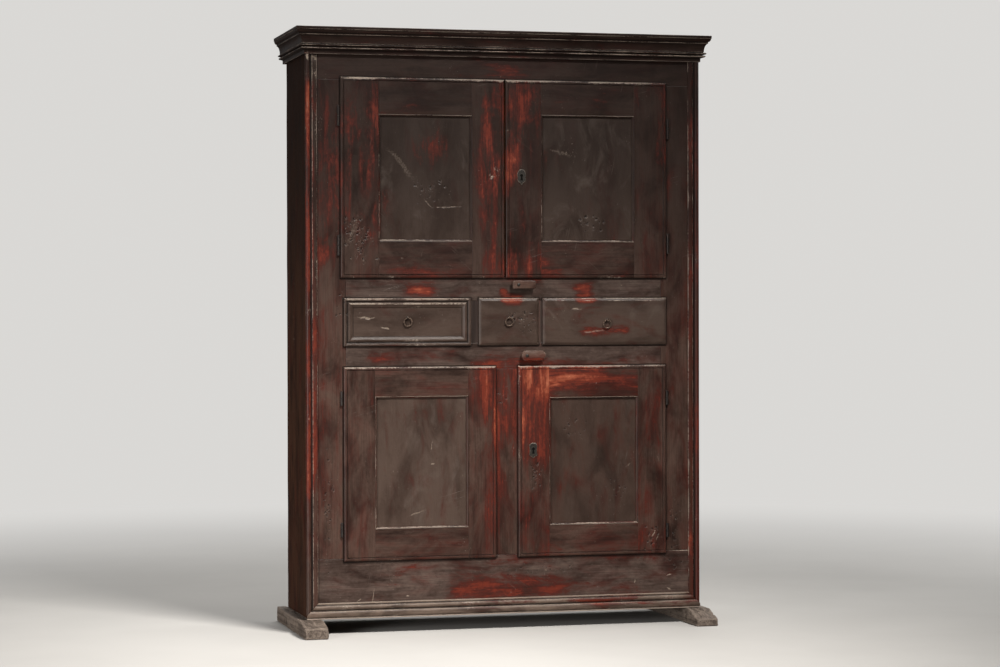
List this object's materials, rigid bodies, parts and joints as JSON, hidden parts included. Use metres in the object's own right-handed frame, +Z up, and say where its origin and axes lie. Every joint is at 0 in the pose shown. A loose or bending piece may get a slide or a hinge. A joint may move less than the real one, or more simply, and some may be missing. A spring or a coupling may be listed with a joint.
{
  "type": "kas cupboard",
  "caption": "Tall painted wooden cupboard with panelled doors above and below a row of small drawers, under a bold cornice and on runner feet.",
  "frame": {"origin": "on the floor, at the middle of the bottom of the box round the whole piece", "axes": "+Z up, +Y from the front to the back, +X along the front to the right as seen from the front"},
  "size_m": [1.395, 0.533, 1.95],
  "materials": {
    "dark_paint": "semi-matt dark brown-black paint over wood, rubbed through to red at the edges",
    "red_paint": "semi-matt brick-red paint over wood, darkened and worn",
    "panel_paint": "worn grey-brown paint over wood",
    "bare_wood": "bare, weathered grey-beige wood",
    "inside_wood": "unpainted aged wood",
    "iron": "dark forged iron with dull rust"
  },
  "bodies": {
    "case": {"foot_left": "bare_wood", "foot_right": "bare_wood", "side_left": "red_paint", "side_right": "red_paint", "bottom_board": "inside_wood", "drawer_floor": "inside_wood", "upper_floor": "inside_wood", "upper_shelf": "inside_wood", "top_board": "inside_wood", "back_board_left": "inside_wood", "back_board_right": "inside_wood", "stile_left": "dark_paint", "stile_right": "dark_paint", "rail_bottom": "dark_paint", "rail_top": "dark_paint", "rail_lower_middle": "dark_paint", "rail_upper_middle": "dark_paint", "muntin": "dark_paint", "drawer_partition_left": "dark_paint", "drawer_partition_right": "dark_paint", "cornice": "dark_paint", "corner_moulding_left": "red_paint", "corner_moulding_right": "red_paint", "base_moulding": "dark_paint", "hinge_upper_left_top": "iron", "hinge_upper_left_bottom": "iron", "hinge_upper_right_top": "iron", "hinge_upper_right_bottom": "iron", "hinge_lower_left_top": "iron", "hinge_lower_left_bottom": "iron", "hinge_lower_right_top": "iron", "hinge_lower_right_bottom": "iron"},
    "door_upper_left": {"door_upper_left_frame": "dark_paint", "door_upper_left_panel": "panel_paint"},
    "door_upper_right": {"door_upper_right_frame": "dark_paint", "door_upper_right_panel": "panel_paint", "escutcheon_upper": "iron", "lock_case_upper": "iron"},
    "door_lower_left": {"door_lower_left_frame": "dark_paint", "door_lower_left_panel": "panel_paint"},
    "door_lower_right": {"door_lower_right_frame": "dark_paint", "door_lower_right_panel": "panel_paint", "escutcheon_lower": "iron", "lock_case_lower": "iron"},
    "bolt_upper": {"lock_bolt_upper": "iron"},
    "bolt_lower": {"lock_bolt_lower": "iron"},
    "drawer_left": {"drawer_left_front": "dark_paint", "drawer_left_box": "inside_wood", "staple_left": "iron"},
    "drawer_centre": {"drawer_centre_front": "dark_paint", "drawer_centre_box": "inside_wood", "staple_centre": "iron"},
    "drawer_right": {"drawer_right_front": "dark_paint", "drawer_right_box": "inside_wood", "staple_right": "iron"},
    "pull_left": {"ring_left": "iron"},
    "pull_centre": {"ring_centre": "iron"},
    "pull_right": {"ring_right": "iron"},
    "button_upper": {"turn_button_upper": "dark_paint"},
    "button_lower": {"turn_button_lower": "dark_paint"}
  },
  "joints": [
    {"name": "door_upper_left_hinge", "type": "hinge", "parent": "case", "child": "door_upper_left", "pos_m": [-0.5555, -0.1483, 1.458], "axis": [0, 0, -1], "range_deg": [0, 160]},
    {"name": "door_upper_right_hinge", "type": "hinge", "parent": "case", "child": "door_upper_right", "pos_m": [0.5555, -0.1483, 1.449], "axis": [0, 0, 1], "range_deg": [0, 160]},
    {"name": "door_lower_left_hinge", "type": "hinge", "parent": "case", "child": "door_lower_left", "pos_m": [-0.5465, -0.1483, 0.545], "axis": [0, 0, -1], "range_deg": [0, 160]},
    {"name": "door_lower_right_hinge", "type": "hinge", "parent": "case", "child": "door_lower_right", "pos_m": [0.5525, -0.1483, 0.5275], "axis": [0, 0, 1], "range_deg": [0, 160]},
    {"name": "drawer_left_slide", "type": "slide", "parent": "case", "child": "drawer_left", "axis": [0, -1, 0], "range_m": [0, 0.26]},
    {"name": "drawer_centre_slide", "type": "slide", "parent": "case", "child": "drawer_centre", "axis": [0, -1, 0], "range_m": [0, 0.26]},
    {"name": "drawer_right_slide", "type": "slide", "parent": "case", "child": "drawer_right", "axis": [0, -1, 0], "range_m": [0, 0.26]},
    {"name": "ring_left_swing", "type": "hinge", "parent": "drawer_left", "child": "pull_left", "pos_m": [-0.32925, -0.15355, 1.017], "axis": [-1, 0, 0], "range_deg": [0, 100]},
    {"name": "ring_centre_swing", "type": "hinge", "parent": "drawer_centre", "child": "pull_centre", "pos_m": [0.009, -0.15805, 1.017], "axis": [-1, 0, 0], "range_deg": [0, 100]},
    {"name": "ring_right_swing", "type": "hinge", "parent": "drawer_right", "child": "pull_right", "pos_m": [0.34225, -0.15805, 1.008], "axis": [-1, 0, 0], "range_deg": [0, 100]},
    {"name": "turn_button_upper_pivot", "type": "hinge", "parent": "case", "child": "button_upper", "pos_m": [0.038, -0.1599, 1.125], "axis": [0, -1, 0], "range_deg": [0, 90]},
    {"name": "turn_button_lower_pivot", "type": "hinge", "parent": "case", "child": "button_lower", "pos_m": [0.066, -0.1594, 0.893], "axis": [0, 1, 0], "range_deg": [0, 90]},
    {"name": "lock_upper_bolt_throw", "type": "slide", "parent": "door_upper_right", "child": "bolt_upper", "axis": [-1, 0, 0], "range_m": [0, 0.016]},
    {"name": "lock_lower_bolt_throw", "type": "slide", "parent": "door_lower_right", "child": "bolt_lower", "axis": [-1, 0, 0], "range_m": [0, 0.014]}
  ]
}
